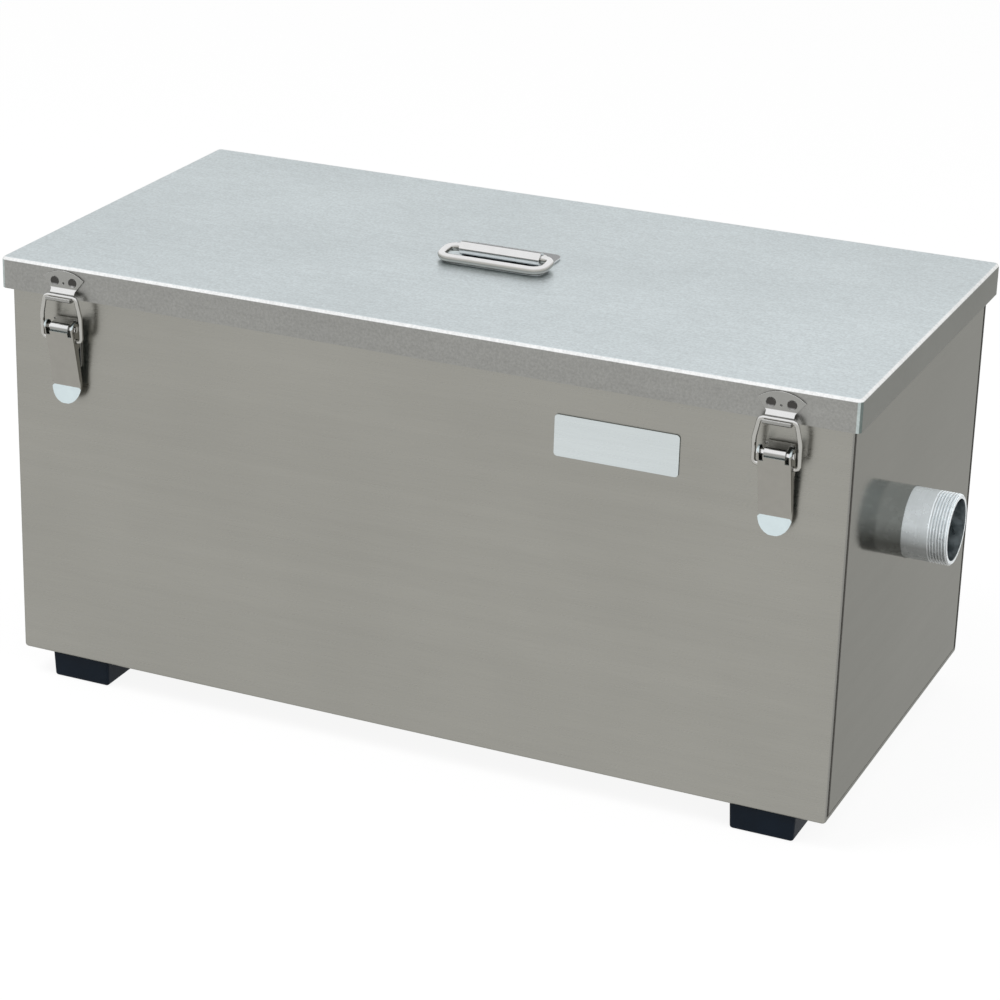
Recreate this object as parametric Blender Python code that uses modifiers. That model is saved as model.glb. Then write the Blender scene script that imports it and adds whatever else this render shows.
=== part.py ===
# Stainless steel grease trap: a folded tank on four feet, a lift-off lid held by four
# over-centre toggle latches, a folding lid handle, two threaded pipe nipples, and inside
# it the strainer basket, two baffles in guides and the outlet's dip elbow.
# Metres, +Z up, the floor at Z = 0, the front at -Y and the outlet end at +X.

import math

import bmesh
import bpy
from mathutils import Matrix, Vector

# Clearance between two pieces that touch on the real thing
GAP = 0.0003

# Tank, folded from sheet
TANK_LENGTH = 0.600
TANK_WIDTH = 0.300
TANK_HEIGHT = 0.289
TANK_SHEET = 0.0015
TANK_BEND = 0.0025
END_RETURN = 0.0045
RIM_FLANGE = 0.015

# Lid, a shallow folded tray over the rim
LID_SHEET = 0.0015
LID_CLEARANCE = 0.004
LID_SKIRT = 0.022
LID_BEND = 0.003
GASKET_WIDTH = 0.010
GASKET_THICKNESS = 0.0019

# Feet, moulded blocks
FOOT_LENGTH = 0.0455
FOOT_DEPTH = 0.060
FOOT_HEIGHT = 0.020
FOOT_END_INSET = 0.02125
FOOT_FRONT_INSET = 0.004
FOOT_ROUND = 0.002
FOOT_TAPER = 0.0008

# Pipe nipples with their threads, one in each end panel
PIPE_DIAMETER = 0.0483
PIPE_WALL = 0.0032
PIPE_HEIGHT = 0.156
PIPE_REACH = 0.0305
PIPE_STUB = 0.012
THREAD_LENGTH = 0.0140
THREAD_PITCH = 0.0020
THREAD_DEPTH = 0.0014
PIPE_SIDES = 32

# Dip elbow inside the outlet
ELBOW_STRAIGHT = 0.003
ELBOW_BEND = 0.042
ELBOW_FLOOR_GAP = 0.055
ELBOW_STEPS = 7

# Baffles and the channels they slide in
BAFFLE_SHEET = 0.0015
BAFFLE_INLET_X = -0.090
BAFFLE_OUTLET_X = 0.150
BAFFLE_FLOOR_GAP = 0.050
BAFFLE_TOP_GAP = 0.024
BAFFLE_LIP = 0.010
GUIDE_SHEET = 0.0012
GUIDE_DEPTH = 0.009

# Strainer basket on its two rails
RAIL_LEG = 0.014
RAIL_SHEET = 0.0015
BASKET_DROP = 0.009
BASKET_HEIGHT = 0.085
BASKET_SHEET = 0.0012
BASKET_RIM = 0.010
BASKET_END_GAP = 0.006
BASKET_ROUND = 0.008
HOLE_DIAMETER = 0.009
HOLE_PITCH = 0.022
BASKET_WIRE = 0.005
BASKET_HANDLE_RISE = 0.040
BASKET_HANDLE_LAP = 0.028
BASKET_HANDLE_BEND = 0.020

# Lid handle: a wire bail in a plate with a rolled sleeve
HANDLE_SHEET = 0.0015
HANDLE_WIRE = 0.006
HANDLE_OUTER = 0.082
HANDLE_REACH = 0.021
HANDLE_CORNER = 0.008
HANDLE_EYE_CORNER = 0.006
HANDLE_ENTRY = 0.020
SLEEVE_LENGTH = 0.0595
SLEEVE_CURL = 300.0
HANDLE_FLANGE_LENGTH = 0.071
HANDLE_FLANGE_DEPTH = 0.0255
HANDLE_SHIFT_Y = -0.003
HANDLE_RIVET_SPACING = 0.048

# Toggle latches: places and the pin they turn on
LATCH_END_INSET = 0.045
LATCH_SHEET = 0.0012
PIN_DROP = 0.0412
PIN_OUT = 0.0115
PIN_DIAMETER = 0.0036
PIN_HEAD = 0.0006
PIN_HEAD_DIAMETER = 0.0046

# Latch base, riveted to the tank
BASE_WIDTH = 0.018
BASE_LENGTH = 0.030
BASE_RISE = 0.0036
KNUCKLE_WIDTH = 0.014
KNUCKLE_CURL = 230.0

# Latch lever, a tapered channel with a bent tip
LEVER_WIDTH = 0.0224
LEVER_LENGTH = 0.0438
LEVER_TIP = 0.0122
LEVER_TIP_TURN = 12.0
LEVER_EAR = 0.0043
LEVER_FOOT_OUT = 0.0060
LEVER_NOTCH_DROP = 0.0023
LEVER_SLOT_DROP = 0.0052
LEVER_CHEEK = 0.0045
LEVER_CHEEK_END = 0.0022
LEVER_FOLD = 0.0014

# Latch bail, the wire link between lever and catch
BAIL_WIRE = 0.0032
BAIL_PIVOT_RADIUS = 0.009
BAIL_PIVOT_ANGLE = 10.0
BAIL_WIDTH = 0.0330
BAIL_TOP_WIDTH = 0.0270
BAIL_ENTRY = 0.0060
BAIL_CORNER = 0.0030
BAIL_EYE_CORNER = 0.0024
BAIL_WAIST_RISE = 0.017
BAIL_WAIST_ROUND = 0.012
BAIL_BAR_OUT = 0.0112
BAIL_BAR_DROP = 0.0193

# Catch plate on the lid's skirt
CATCH_WIDTH = 0.0312
CATCH_TOP_DROP = 0.0024
CATCH_DOME = 0.0245
CATCH_NECK_DROP = 0.0158
CATCH_MIDDLE_HOLE = 0.0018
CATCH_HOLE_DROP = 0.0113
HOOK_WIDTH = 0.0188
HOOK_SLACK = 0.0012
CATCH_RIVET_SPACING = 0.0137
CATCH_RIVET_DROP = 0.0102

# Countersunk rivets of the catches, the bases and the handle
RIVET_SHANK = 0.0032
RIVET_HEAD = 0.0065
RIVET_SUNK = 0.0012
RIVET_DISH = 0.0007
RIVET_DOME = 0.0011
RIVET_RIM = 0.0002
RIVET_PLAY = 0.00042
RIVET_LENGTH = 0.0042

# Heights that follow from the sizes above
TANK_TOP = FOOT_HEIGHT + TANK_HEIGHT
TANK_FLOOR = FOOT_HEIGHT + TANK_SHEET
LID_UNDER = TANK_TOP + GASKET_THICKNESS + 2 * GAP
LID_TOP = LID_UNDER + LID_SHEET
PIPE_AXIS = FOOT_HEIGHT + PIPE_HEIGHT
LID_OVERHANG = LID_CLEARANCE + LID_SHEET
INNER_WIDTH = TANK_WIDTH - 2 * TANK_SHEET

# Shorter than every fold, to tell a face by its place
TINY = 0.0005


def clear_scene():
    """Removes every object, so that the model starts from nothing."""
    for thing in list(bpy.data.objects):
        bpy.data.objects.remove(thing, do_unlink=True)


def new_collection(name):
    group = bpy.data.collections.new(name)
    bpy.context.scene.collection.children.link(group)
    return group


def new_material(name, colour, roughness, metallic):
    """A plain Principled material."""
    made = bpy.data.materials.new(name)
    made.use_nodes = True
    shader = made.node_tree.nodes["Principled BSDF"]
    shader.inputs["Base Color"].default_value = (*colour, 1.0)
    shader.inputs["Roughness"].default_value = roughness
    shader.inputs["Metallic"].default_value = metallic
    return made


clear_scene()
PARTS = new_collection("grease_trap")
CUTTERS = new_collection("cutters")
BRUSHED = new_material("brushed_steel", (0.52, 0.51, 0.48), 0.35, 1.0)
PALE = new_material("pale_sheet", (0.70, 0.72, 0.73), 0.45, 1.0)
POLISHED = new_material("polished_steel", (0.80, 0.80, 0.80), 0.12, 1.0)
ZINC = new_material("zinc_pipe", (0.66, 0.68, 0.70), 0.35, 1.0)
FOOT_BLACK = new_material("black_foot", (0.02, 0.025, 0.03), 0.6, 0.0)
SEAL_GREY = new_material("grey_seal", (0.12, 0.12, 0.12), 0.8, 0.0)


def rounded(corners, steps=3, closed=False):
    """Points of an outline whose corners, given as (x, y, radius), are rounded."""
    points = []
    last = len(corners) - 1
    for index, (x, y, radius) in enumerate(corners):
        corner = Vector((x, y))
        if radius <= 0 or (not closed and index in (0, last)):
            points.append((x, y))
            continue
        before = (Vector(corners[index - 1][:2]) - corner).normalized()
        after = (Vector(corners[(index + 1) % len(corners)][:2]) - corner).normalized()
        half = before.angle(after) / 2
        centre = corner + (before + after).normalized() * (radius / math.sin(half))
        reach = radius / math.tan(half)
        start = corner + before * reach - centre
        end = corner + after * reach - centre
        first = math.atan2(start.y, start.x)
        turn = math.remainder(math.atan2(end.y, end.x) - first, 2 * math.pi)
        for step in range(steps + 1):
            angle = first + turn * step / steps
            points.append((centre.x + radius * math.cos(angle), centre.y + radius * math.sin(angle)))
    return points


def arc(centre, radius, start, end, steps):
    """Points on an arc, with its angles in degrees."""
    angles = [math.radians(start + (end - start) * step / steps) for step in range(steps + 1)]
    return [(centre[0] + radius * math.cos(a), centre[1] + radius * math.sin(a)) for a in angles]


def link(name, mesh, material, group=PARTS):
    """An object of its own for a mesh, with its material and smooth round faces."""
    thing = bpy.data.objects.new(name, mesh)
    group.objects.link(thing)
    if material and not mesh.materials:
        mesh.materials.append(material)
    mesh.shade_smooth()
    mesh.set_sharp_from_angle(angle=math.radians(35))
    return thing


def from_bmesh(name, bm, material, group=PARTS):
    mesh = bpy.data.meshes.new(name)
    bm.to_mesh(mesh)
    bm.free()
    return link(name, mesh, material, group)


def baked_mesh(thing):
    """The mesh that an object's modifiers leave; the object itself goes."""
    bpy.context.view_layer.update()
    graph = bpy.context.evaluated_depsgraph_get()
    mesh = bpy.data.meshes.new_from_object(thing.evaluated_get(graph), depsgraph=graph)
    mesh.name = thing.name
    bpy.data.objects.remove(thing, do_unlink=True)
    return mesh


def solidify(thing, thickness, offset):
    shell = thing.modifiers.new("sheet", "SOLIDIFY")
    shell.thickness = thickness
    shell.offset = offset
    shell.use_even_offset = True
    return shell


def cut(thing, cutter, operation="DIFFERENCE"):
    """Cuts one mesh object with another, or keeps what both hold."""
    boolean = thing.modifiers.new(cutter.name, "BOOLEAN")
    boolean.operation = operation
    boolean.solver = "EXACT"
    boolean.object = cutter
    cutter.hide_render = True
    cutter.display_type = "WIRE"


def strip(name, path, low, high, sheet, material, axis="X"):
    """A sheet folded along a path of two coordinates and as long as low to high on an axis."""
    bm = bmesh.new()
    places = {"X": lambda a, b: (low, a, b), "Y": lambda a, b: (a, low, b), "Z": lambda a, b: (a, b, low)}
    verts = [bm.verts.new(places[axis](a, b)) for a, b in path]
    edges = [bm.edges.new(pair) for pair in zip(verts, verts[1:])]
    grown = bmesh.ops.extrude_edge_only(bm, edges=edges)["geom"]
    moved = [item for item in grown if isinstance(item, bmesh.types.BMVert)]
    along = {"X": (1, 0, 0), "Y": (0, 1, 0), "Z": (0, 0, 1)}[axis]
    bmesh.ops.translate(bm, vec=Vector(along) * (high - low), verts=moved)
    thing = from_bmesh(name, bm, material)
    solidify(thing, sheet, 0.0)
    return thing


def outline_solid(name, points, depth, turn=None, group=CUTTERS, material=None):
    """A flat closed outline drawn in X and Y and given a depth along Z, then turned."""
    curve = bpy.data.curves.new(name, "CURVE")
    curve.dimensions = "2D"
    curve.fill_mode = "BOTH"
    curve.extrude = depth / 2
    spline = curve.splines.new("POLY")
    spline.points.add(len(points) - 1)
    for slot, (x, y) in zip(spline.points, points):
        slot.co = (x, y, 0, 1)
    spline.use_cyclic_u = True
    drawn = bpy.data.objects.new(name, curve)
    group.objects.link(drawn)
    mesh = baked_mesh(drawn)
    bm = bmesh.new()
    bm.from_mesh(mesh)
    bmesh.ops.remove_doubles(bm, verts=bm.verts, dist=0.00001)
    if turn is not None:
        bmesh.ops.transform(bm, matrix=turn, verts=bm.verts)
    bm.to_mesh(mesh)
    bm.free()
    return link(name, mesh, material, group)


def block(name, low, high):
    """A cutter box between two corners."""
    bm = bmesh.new()
    bmesh.ops.create_cube(bm, size=1.0)
    low = Vector(low)
    high = Vector(high)
    bmesh.ops.scale(bm, vec=high - low, verts=bm.verts)
    bmesh.ops.translate(bm, vec=(low + high) / 2, verts=bm.verts)
    return from_bmesh(name, bm, None, CUTTERS)


def rod(name, radius, ends, sides=10):
    """A round cutter between two points."""
    start = Vector(ends[0])
    end = Vector(ends[1])
    bm = bmesh.new()
    bmesh.ops.create_cone(
        bm, cap_ends=True, segments=sides, radius1=radius, radius2=radius, depth=(end - start).length
    )
    turn = Vector((0, 0, 1)).rotation_difference(end - start).to_matrix()
    bmesh.ops.rotate(bm, matrix=turn, verts=bm.verts)
    bmesh.ops.translate(bm, vec=(start + end) / 2, verts=bm.verts)
    return from_bmesh(name, bm, None, CUTTERS)


def turned(name, profile, steps, material, group=PARTS):
    """A profile of (radius, height) points spun about Z."""
    bm = bmesh.new()
    verts = [bm.verts.new((radius, 0, height)) for radius, height in profile]
    pairs = list(zip(verts, verts[1:]))
    if profile[0][0] > 0:
        pairs.append((verts[-1], verts[0]))
    for pair in pairs:
        bm.edges.new(pair)
    thing = from_bmesh(name, bm, material, group)
    screw = thing.modifiers.new("spin", "SCREW")
    screw.axis = "Z"
    screw.steps = steps
    screw.render_steps = steps
    screw.use_merge_vertices = True
    screw.merge_threshold = 0.00001
    screw.use_smooth_shade = True
    return thing


def wire(name, points, diameter, material, resolution=2):
    """A bent round wire through points, as a mesh with its ends closed."""
    curve = bpy.data.curves.new(name, "CURVE")
    curve.dimensions = "3D"
    curve.bevel_depth = diameter / 2
    curve.bevel_resolution = resolution
    curve.use_fill_caps = True
    spline = curve.splines.new("POLY")
    spline.points.add(len(points) - 1)
    for slot, point in zip(spline.points, points):
        slot.co = (*point, 1)
    drawn = bpy.data.objects.new(name, curve)
    PARTS.objects.link(drawn)
    mesh = baked_mesh(drawn)
    bm = bmesh.new()
    bm.from_mesh(mesh)
    bmesh.ops.remove_doubles(bm, verts=bm.verts, dist=0.00001)
    bm.to_mesh(mesh)
    bm.free()
    return link(name, mesh, material)


def round_box(size, bend):
    """A box on the floor with all of its edges rounded, as a sheet bends."""
    bm = bmesh.new()
    bmesh.ops.create_cube(bm, size=1.0)
    bmesh.ops.scale(bm, vec=size, verts=bm.verts)
    bmesh.ops.translate(bm, vec=(0, 0, size[2] / 2), verts=bm.verts)
    bmesh.ops.bevel(bm, geom=bm.edges[:], offset=bend, segments=3, affect="EDGES", profile=0.5)
    return bm


def slice_faces(bm, faces, point, normal):
    """Cuts only the given faces along a plane."""
    geom = set(faces)
    for face in faces:
        geom.update(face.edges)
        geom.update(face.verts)
    bmesh.ops.bisect_plane(bm, geom=list(geom), dist=0.000001, plane_co=point, plane_no=normal)


def end_faces(bm):
    return [face for face in bm.faces if abs(face.calc_center_median().x) > TANK_LENGTH / 2 - TINY]


def tank_wrapper():
    """Front, floor and back in one sheet, with flanges at the rim and returns at the ends."""
    half_y = TANK_WIDTH / 2
    bend_line = TANK_HEIGHT - TANK_BEND
    bm = round_box((TANK_LENGTH, TANK_WIDTH, TANK_HEIGHT), TANK_BEND)
    for side in (-1, 1):
        top = [face for face in bm.faces if face.calc_center_median().z > bend_line]
        slice_faces(bm, top, (0, side * (half_y - RIM_FLANGE), 0), (0, 1, 0))
        slice_faces(bm, end_faces(bm), (0, side * (half_y - END_RETURN), 0), (0, 1, 0))
    slice_faces(bm, end_faces(bm), (0, 0, END_RETURN), (0, 0, 1))
    refused = []
    for face in bm.faces:
        centre = face.calc_center_median()
        if centre.z > bend_line and abs(centre.y) < half_y - RIM_FLANGE:
            refused.append(face)
    for face in end_faces(bm):
        centre = face.calc_center_median()
        if centre.z > END_RETURN and abs(centre.y) < half_y - END_RETURN and face not in refused:
            refused.append(face)
    bmesh.ops.delete(bm, geom=refused, context="FACES")
    wrapper = from_bmesh("tank_wrapper", bm, BRUSHED)
    wrapper.location.z = FOOT_HEIGHT
    solidify(wrapper, TANK_SHEET, -1.0)
    return wrapper


def end_panel(name, sign):
    """A flat end with a flange folded in at the rim and a hole for its nipple."""
    outer = sign * TANK_LENGTH / 2
    middle = outer - sign * TANK_SHEET / 2
    inner = outer - sign * RIM_FLANGE
    low = FOOT_HEIGHT + END_RETURN + GAP
    top = TANK_TOP - TANK_SHEET / 2
    half = TANK_WIDTH / 2 - END_RETURN - GAP
    path = rounded([(middle, low, 0), (middle, top, TANK_BEND - TANK_SHEET / 2), (inner, top, 0)])
    panel = strip(name, path, -half, half, TANK_SHEET, BRUSHED, axis="Y")
    notch = TANK_WIDTH / 2 - RIM_FLANGE - GAP
    for side in (-1, 1):
        ys = sorted((side * notch, side * TANK_WIDTH / 2))
        xs = sorted((inner - sign * RIM_FLANGE, outer + sign * RIM_FLANGE))
        low_corner = (xs[0], ys[0], TANK_TOP - TANK_BEND - TANK_SHEET / 2 - GAP)
        corner = block(name + "_notch", low_corner, (xs[1], ys[1], TANK_TOP + TANK_BEND))
        cut(panel, corner)
    ends = ((outer - sign * PIPE_STUB, 0, PIPE_AXIS), (outer + sign * PIPE_STUB, 0, PIPE_AXIS))
    cut(panel, rod(name + "_hole", PIPE_DIAMETER / 2 + GAP, ends, PIPE_SIDES))
    return panel


def nipple(name, sign):
    """A pipe nipple: smooth where it is welded in, threaded at its outer end."""
    outer = PIPE_DIAMETER / 2
    bore = outer - PIPE_WALL
    root = outer - THREAD_DEPTH
    top = TANK_LENGTH / 2 + PIPE_REACH
    bottom = TANK_LENGTH / 2 - TANK_SHEET - PIPE_STUB
    profile = [(bore, top), (root, top)]
    turns = int(THREAD_LENGTH / THREAD_PITCH)
    for turn in range(turns):
        profile.append((outer, top - (turn + 0.5) * THREAD_PITCH))
        profile.append((root, top - (turn + 1) * THREAD_PITCH))
    profile += [(outer, top - (turns + 0.5) * THREAD_PITCH), (outer, bottom), (bore, bottom)]
    pipe = turned(name, profile, PIPE_SIDES, ZINC)
    pipe.location.z = PIPE_AXIS
    pipe.rotation_euler = (0, sign * math.pi / 2, 0)
    return pipe


def dip_elbow():
    """The outlet's elbow, which draws from below the floating grease."""
    start_x = TANK_LENGTH / 2 - TANK_SHEET - PIPE_STUB - GAP
    bend_x = start_x - ELBOW_STRAIGHT
    path = [(start_x, 0, PIPE_AXIS)]
    for a, b in arc((bend_x, PIPE_AXIS - ELBOW_BEND), ELBOW_BEND, 90, 180, ELBOW_STEPS):
        path.append((a, 0, b))
    path.append((bend_x - ELBOW_BEND, 0, TANK_FLOOR + ELBOW_FLOOR_GAP))
    curve = bpy.data.curves.new("dip_elbow", "CURVE")
    curve.dimensions = "3D"
    curve.bevel_depth = PIPE_DIAMETER / 2
    curve.bevel_resolution = 6
    spline = curve.splines.new("POLY")
    spline.points.add(len(path) - 1)
    for slot, point in zip(spline.points, path):
        slot.co = (*point, 1)
    drawn = bpy.data.objects.new("dip_elbow", curve)
    PARTS.objects.link(drawn)
    elbow = link("dip_elbow", baked_mesh(drawn), ZINC)
    solidify(elbow, PIPE_WALL, -1.0)
    return elbow


def baffle(name, place_x):
    """A plate across the tank, with a stiffening lip folded along its top."""
    low = TANK_FLOOR + BAFFLE_FLOOR_GAP + GUIDE_SHEET + GAP
    top = LID_UNDER - BAFFLE_TOP_GAP
    half = INNER_WIDTH / 2 - GAP - GUIDE_SHEET - GAP
    bend = TANK_BEND - BAFFLE_SHEET / 2
    path = rounded([(place_x, low, 0), (place_x, top, bend), (place_x + BAFFLE_LIP, top, 0)])
    plate = strip(name, path, -half, half, BAFFLE_SHEET, BRUSHED, axis="Y")
    for side in (-1, 1):
        free = INNER_WIDTH / 2 - GAP - GUIDE_DEPTH - GAP
        ys = sorted((side * free, side * INNER_WIDTH))
        low_corner = (place_x - BAFFLE_LIP, ys[0], top - 2 * TANK_BEND)
        cut(plate, block(name + "_notch", low_corner, (place_x + 2 * BAFFLE_LIP, ys[1], LID_TOP)))
    return plate


def guide(name, place_x, side):
    """A channel on the tank's wall, closed below, that a baffle slides down into."""
    width = BAFFLE_SHEET + 2 * GAP + 2 * GUIDE_SHEET
    low = TANK_FLOOR + BAFFLE_FLOOR_GAP
    height = LID_UNDER - BAFFLE_TOP_GAP - 2 * TANK_BEND - 2 * GAP - low
    bm = bmesh.new()
    bmesh.ops.create_cube(bm, size=1.0)
    bmesh.ops.scale(bm, vec=(width, GUIDE_DEPTH, height), verts=bm.verts)
    bmesh.ops.translate(bm, vec=(0, 0, height / 2), verts=bm.verts)
    open_faces = [f for f in bm.faces if f.normal.z > 0.9 or f.normal.y * side < -0.9]
    bmesh.ops.delete(bm, geom=open_faces, context="FACES")
    channel = from_bmesh(name, bm, BRUSHED)
    channel.location = (place_x, side * (INNER_WIDTH / 2 - GAP - GUIDE_DEPTH / 2), low)
    solidify(channel, GUIDE_SHEET, -1.0)
    return channel


def rail_height():
    """The top of the rails, just under the inlet pipe's bore."""
    return PIPE_AXIS - PIPE_DIAMETER / 2 - BASKET_DROP


def basket_span():
    """The low and high X of the space between the inlet end and the first baffle's guides."""
    low = -TANK_LENGTH / 2 + TANK_BEND + GAP
    high = BAFFLE_INLET_X - BAFFLE_SHEET / 2 - GAP - GUIDE_SHEET - GAP
    return low, high


def basket_rail(name, side):
    """An angle on the tank's wall that carries one side of the basket's rim."""
    low, high = basket_span()
    wall = side * (INNER_WIDTH / 2 - GAP - RAIL_SHEET / 2)
    top = rail_height() - RAIL_SHEET / 2
    path = rounded([(wall, top - RAIL_LEG, 0), (wall, top, RAIL_SHEET), (wall - side * RAIL_LEG, top, 0)])
    return strip(name, path, low, high, RAIL_SHEET, BRUSHED)


def basket_width():
    """The basket's width between the rails' inner edges."""
    return INNER_WIDTH - 2 * (GAP + RAIL_LEG + RAIL_SHEET / 2) - 2 * GAP


def strainer_basket():
    """A tray with a rim that hangs on the rails and with holes for the water to leave by."""
    low, high = basket_span()
    length = high - low - 2 * BASKET_END_GAP - 2 * BASKET_RIM
    width = basket_width()
    bm = bmesh.new()
    bmesh.ops.create_cube(bm, size=1.0)
    bmesh.ops.scale(bm, vec=(length, width, BASKET_HEIGHT), verts=bm.verts)
    lower = [e for e in bm.edges if min(v.co.z for v in e.verts) < 0]
    bmesh.ops.bevel(bm, geom=lower, offset=BASKET_ROUND, segments=2, affect="EDGES", profile=0.5)
    bmesh.ops.delete(bm, geom=[f for f in bm.faces if f.normal.z > 0.9], context="FACES")
    border = [e for e in bm.edges if e.is_boundary]
    grown = bmesh.ops.extrude_edge_only(bm, edges=border)["geom"]
    for vert in (item for item in grown if isinstance(item, bmesh.types.BMVert)):
        vert.co.x += math.copysign(BASKET_RIM, vert.co.x)
        vert.co.y += math.copysign(RAIL_LEG, vert.co.y)
    basket = from_bmesh("strainer_basket", bm, BRUSHED)
    basket.location = ((low + high) / 2, 0, rail_height() + GAP - BASKET_HEIGHT / 2)
    solidify(basket, BASKET_SHEET, -1.0)
    drill_basket(basket, length, width)
    return basket


def drill_basket(basket, length, width):
    """Rows of holes through the basket's floor and along its long walls."""
    bm = bmesh.new()
    flat_x = length - 2 * BASKET_ROUND - HOLE_DIAMETER
    flat_y = width - 2 * BASKET_ROUND - HOLE_DIAMETER
    count_x = int(flat_x / HOLE_PITCH) + 1
    count_y = int(flat_y / HOLE_PITCH) + 1
    floor_z = -BASKET_HEIGHT / 2
    upright = Matrix.Rotation(math.pi / 2, 4, "X")
    for row in range(count_x):
        place_x = (row - (count_x - 1) / 2) * HOLE_PITCH
        for column in range(1, count_y, 2):
            place_y = (column - (count_y - 1) / 2) * HOLE_PITCH
            place = Matrix.Translation((place_x, place_y, floor_z))
            hole_prism(bm, place, 4 * BASKET_SHEET)
        for side in (-1, 1):
            place = Matrix.Translation((place_x, side * width / 2, floor_z + HOLE_PITCH)) @ upright
            hole_prism(bm, place, 4 * BASKET_SHEET)
    drill = from_bmesh("basket_holes", bm, None, CUTTERS)
    drill.location = basket.location
    cut(basket, drill)


def hole_prism(bm, place, depth):
    radius = HOLE_DIAMETER / 2
    bmesh.ops.create_cone(
        bm, cap_ends=True, segments=6, radius1=radius, radius2=radius, depth=depth, matrix=place
    )


def basket_handle():
    """An arched wire welded inside the basket's long walls."""
    low, high = basket_span()
    middle = (low + high) / 2
    side = basket_width() / 2 - BASKET_SHEET - BASKET_WIRE / 2 - GAP
    base = rail_height() - BASKET_HANDLE_LAP
    top = rail_height() + BASKET_HANDLE_RISE
    bend = BASKET_HANDLE_BEND
    path = rounded([(-side, base, 0), (-side, top, bend), (side, top, bend), (side, base, 0)])
    return wire("basket_handle", [(middle, y, z) for y, z in path], BASKET_WIRE, POLISHED)


def lid_gasket():
    """A flat seal around the tank's rim flange."""
    length = TANK_LENGTH - 2 * TANK_BEND
    width = TANK_WIDTH - 2 * TANK_BEND
    bm = bmesh.new()
    bmesh.ops.create_grid(bm, x_segments=1, y_segments=1, size=0.5)
    bmesh.ops.scale(bm, vec=(length, width, 1), verts=bm.verts)
    bmesh.ops.inset_region(
        bm, faces=bm.faces[:], thickness=GASKET_WIDTH, use_boundary=True, use_even_offset=True
    )
    middle = [f for f in bm.faces if f.calc_center_median().length < GASKET_WIDTH / 2]
    bmesh.ops.delete(bm, geom=middle, context="FACES")
    seal = from_bmesh("lid_gasket", bm, SEAL_GREY)
    seal.location.z = TANK_TOP + GAP + GASKET_THICKNESS / 2
    solidify(seal, GASKET_THICKNESS, 0.0)
    return seal


def lid():
    """A shallow folded tray, its skirt outside the tank's rim, drilled for its rivets."""
    size = (TANK_LENGTH + 2 * LID_OVERHANG, TANK_WIDTH + 2 * LID_OVERHANG, 2 * LID_SKIRT)
    bm = round_box(size, LID_BEND)
    geom = bm.verts[:] + bm.edges[:] + bm.faces[:]
    bmesh.ops.bisect_plane(
        bm, geom=geom, dist=0.000001, plane_co=(0, 0, LID_SKIRT), plane_no=(0, 0, 1), clear_inner=True
    )
    cover = from_bmesh("lid", bm, PALE)
    cover.location.z = LID_TOP - 2 * LID_SKIRT
    solidify(cover, LID_SHEET, -1.0)
    radius = RIVET_SHANK / 2 + GAP
    for number, place in enumerate(handle_rivet_places()):
        ends = ((place[0], place[1], LID_UNDER - LID_SHEET), (place[0], place[1], LID_TOP + LID_SHEET))
        cut(cover, rod("lid_handle_hole_%d" % number, radius, ends, 10))
    for label, turn, place_x in latch_places():
        side = -math.cos(turn)
        for step in (-1, 1):
            x = place_x + step * CATCH_RIVET_SPACING / 2
            y = side * (TANK_WIDTH / 2 + LID_CLEARANCE + LID_SHEET / 2)
            z = LID_TOP - CATCH_RIVET_DROP
            ends = ((x, y - 2 * LID_SHEET, z), (x, y + 2 * LID_SHEET, z))
            cut(cover, rod("lid_catch_hole_%s_%d" % (label, step), radius, ends, 10))
    return cover


def sleeve_height():
    """The handle's axis above the lid."""
    return GAP + HANDLE_SHEET + HANDLE_WIRE / 2 + GAP


def handle_rivet_places():
    reach = HANDLE_SHIFT_Y + (HANDLE_FLANGE_DEPTH + HANDLE_WIRE) / 2
    return [(side * HANDLE_RIVET_SPACING / 2, reach) for side in (-1, 1)]


def handle_plate():
    """A flat flange that rolls up and over into the sleeve that the bail turns in."""
    roll = HANDLE_WIRE / 2 + GAP + HANDLE_SHEET / 2
    height = LID_TOP + sleeve_height()
    curl = arc((HANDLE_SHIFT_Y, height), roll, -90, -90 - SLEEVE_CURL, 12)
    path = [(HANDLE_SHIFT_Y + HANDLE_FLANGE_DEPTH + roll, height - roll)] + curl
    half = HANDLE_FLANGE_LENGTH / 2
    plate = strip("handle_plate", path, -half - roll, half + roll, HANDLE_SHEET, POLISHED)
    back = HANDLE_SHIFT_Y + HANDLE_FLANGE_DEPTH
    step = HANDLE_SHIFT_Y + roll + HANDLE_SHEET
    front = HANDLE_SHIFT_Y - 2 * roll
    sleeve = SLEEVE_LENGTH / 2
    corner = HANDLE_FLANGE_DEPTH / 4
    plan = rounded(
        [
            (-sleeve, front, 0),
            (sleeve, front, 0),
            (sleeve, step, 0),
            (half, step, corner / 2),
            (half, back, corner),
            (-half, back, corner),
            (-half, step, corner / 2),
            (-sleeve, step, 0),
        ],
        closed=True,
    )
    keep = outline_solid("handle_plan", plan, 4 * LID_SKIRT)
    keep.location.z = LID_TOP
    cut(plate, keep, "INTERSECT")
    radius = RIVET_SHANK / 2 + GAP
    for number, (x, y) in enumerate(handle_rivet_places()):
        ends = ((x, y, LID_TOP - LID_SHEET), (x, y, LID_TOP + 2 * HANDLE_SHEET))
        cut(plate, rod("handle_plate_hole_%d" % number, radius, ends, 10))
    return plate


def dome_rivet_mesh():
    """A low domed rivet, its shank down and its head's underside at Z = 0."""
    head = RIVET_HEAD / 2
    shank = RIVET_SHANK / 2
    slopes = [math.radians(angle) for angle in (0, 30, 60, 90)]
    profile = [(head * math.sin(slope), RIVET_DOME * math.cos(slope)) for slope in slopes]
    profile += [(shank, 0), (shank, -RIVET_LENGTH), (0, -RIVET_LENGTH)]
    return baked_mesh(turned("dome_rivet", profile, 10, POLISHED))


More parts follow.
